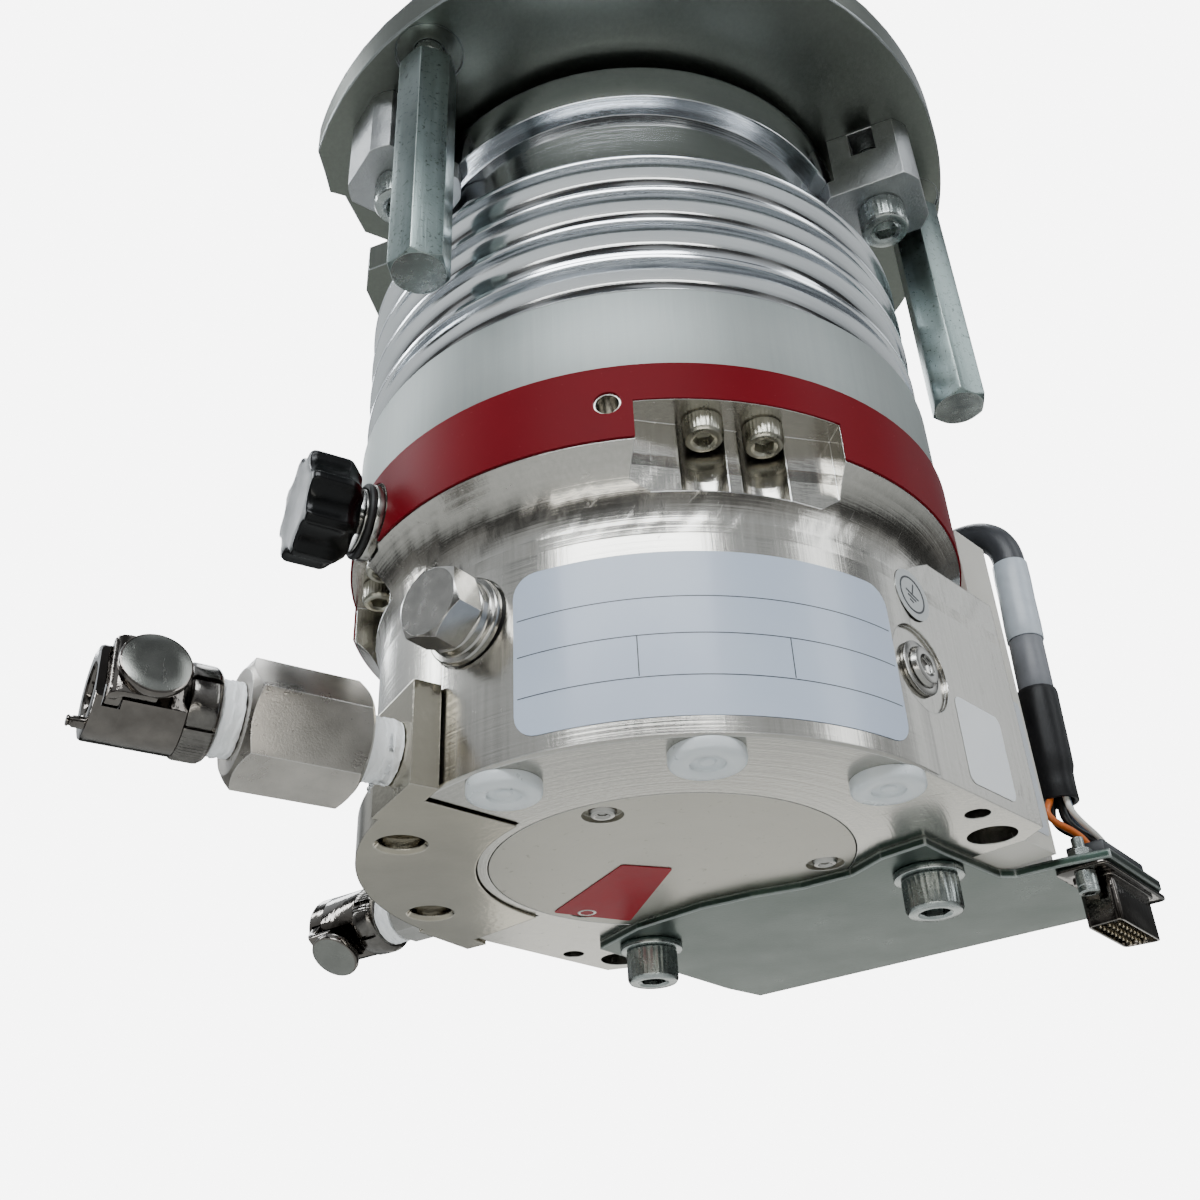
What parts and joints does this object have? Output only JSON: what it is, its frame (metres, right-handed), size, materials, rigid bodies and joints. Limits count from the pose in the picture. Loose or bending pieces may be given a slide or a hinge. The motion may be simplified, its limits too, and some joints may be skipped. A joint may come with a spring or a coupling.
{
  "type": "turbomolecular pump",
  "caption": "Turbomolecular vacuum pump hung from a chamber plate, with finned housing, cooling plate, quick couplings, vent valve and side drive unit.",
  "frame": {"origin": "centre of the inlet opening at the top face of the chamber plate", "axes": "+Z out of the inlet along the rotor axis, -Y towards the rating label side, -X towards the cooling plate"},
  "size_m": [0.2316, 0.2013, 0.2231],
  "materials": {
    "turned_aluminium": "turned",
    "milled_aluminium": "milled",
    "plate_steel": "satin",
    "zinc_plate": "zinc plated",
    "cast_aluminium": "blasted",
    "red_film": "printed film",
    "stainless": "turned",
    "hose_adapter_steel": "milled",
    "black_plastic": "moulded",
    "black_rubber": "matt",
    "milky_plastic": "translucent",
    "nickel_plate": "nickel plated",
    "chrome_plate": "chromed",
    "brass_inner": "turned",
    "thread_tape": "tape",
    "cream_paint": "powder coat",
    "grey_jacket": "satin",
    "white_sleeve": "satin",
    "wire_insulation": "satin",
    "screw_steel": "oiled",
    "rotor_aluminium": "milled",
    "magnet_nickel": "nickel plated",
    "coil_copper": "enamelled",
    "oil_felt": "felt"
  },
  "bodies": {
    "pump": {"bearing_outer": "screw_steel", "bearing_star": "stainless", "bottom_cover": "turned_aluminium", "bracket_screws": "zinc_plate", "bracket_washers": "zinc_plate", "cable": "grey_jacket", "cable_shrink": "black_rubber", "cable_sleeve": "white_sleeve", "cable_wires": "wire_insulation", "centring_ring": "cast_aluminium", "claw_clamps": "cast_aluminium", "claw_screws": "zinc_plate", "connector_bracket": "zinc_plate", "connector_insert": "black_plastic", "connector_shell": "chrome_plate", "cooling_plate": "nickel_plate", "cooling_screws": "stainless", "coupling_front": "chrome_plate", "coupling_rear": "chrome_plate", "cover_screws": "stainless", "drag_stator": "rotor_aluminium", "drive_cover": "cream_paint", "drive_screws": "screw_steel", "drive_unit": "cream_paint", "earth_screw": "stainless", "feet": "milky_plastic", "fore_port": "cast_aluminium", "hex_plug": "stainless", "hex_posts": "zinc_plate", "hose_adapter": "hose_adapter_steel", "inlet_seal": "black_rubber", "jack_screws": "stainless", "lower_housing": "milled_aluminium", "magnet_stator": "magnet_nickel", "motor_coils": "coil_copper", "mounting_plate": "plate_steel", "oil_wick": "oil_felt", "rear_adapter": "stainless", "red_band": "red_film", "rim_screws": "zinc_plate", "seal_rings": "black_rubber", "spacer_rings": "rotor_aluminium", "splinter_screen": "stainless", "stator_discs": "rotor_aluminium", "thread_tapes": "thread_tape", "upper_housing": "turned_aluminium", "vent_neck": "stainless"},
    "rotor_set": {"rotor": "rotor_aluminium", "shaft": "screw_steel", "motor_magnet": "magnet_nickel", "bearing_inner": "screw_steel", "magnet_rotor": "magnet_nickel"},
    "vent_spindle": {"vent_stem": "stainless"},
    "vent_handle": {"vent_knob": "black_plastic"},
    "front_latch": {"latch_front": "chrome_plate"},
    "rear_latch": {"latch_rear": "chrome_plate"},
    "front_poppet": {"poppet_front": "brass_inner"},
    "rear_poppet": {"poppet_rear": "brass_inner"}
  },
  "joints": [
    {"name": "rotor_spin", "type": "hinge", "parent": "pump", "child": "rotor_set", "pos_m": [0, 0, -0.1], "axis": [0, 0, 1], "continuous": true},
    {"name": "vent_lift", "type": "slide", "parent": "pump", "child": "vent_spindle", "axis": [-0.8616, -0.5075, 0], "range_m": [0, 0.0015]},
    {"name": "vent_turn", "type": "hinge", "parent": "vent_spindle", "child": "vent_handle", "pos_m": [-0.06462, -0.03807, -0.138], "axis": [-0.8616, -0.5075, 0], "range_deg": [0, 540]},
    {"name": "front_latch_press", "type": "slide", "parent": "pump", "child": "front_latch", "axis": [-0.5291, 0.8306, -0.1736], "range_m": [0, 0.002], "stiffness_N_per_m": 800, "springref_m": -0.002},
    {"name": "rear_latch_press", "type": "slide", "parent": "pump", "child": "rear_latch", "axis": [0.3082, 0.4837, 0.8192], "range_m": [0, 0.002], "stiffness_N_per_m": 800, "springref_m": -0.002},
    {"name": "front_poppet_press", "type": "slide", "parent": "pump", "child": "front_poppet", "axis": [0.8434, 0.5373, 0], "range_m": [0, 0.0014], "stiffness_N_per_m": 500, "springref_m": -0.002},
    {"name": "rear_poppet_press", "type": "slide", "parent": "pump", "child": "rear_poppet", "axis": [0.8434, -0.5373, 0], "range_m": [0, 0.0014], "stiffness_N_per_m": 500, "springref_m": -0.002}
  ],
  "couplings": [
    {"joint": "vent_turn", "follows": "vent_lift", "rad_per_m": 6283.2}
  ]
}
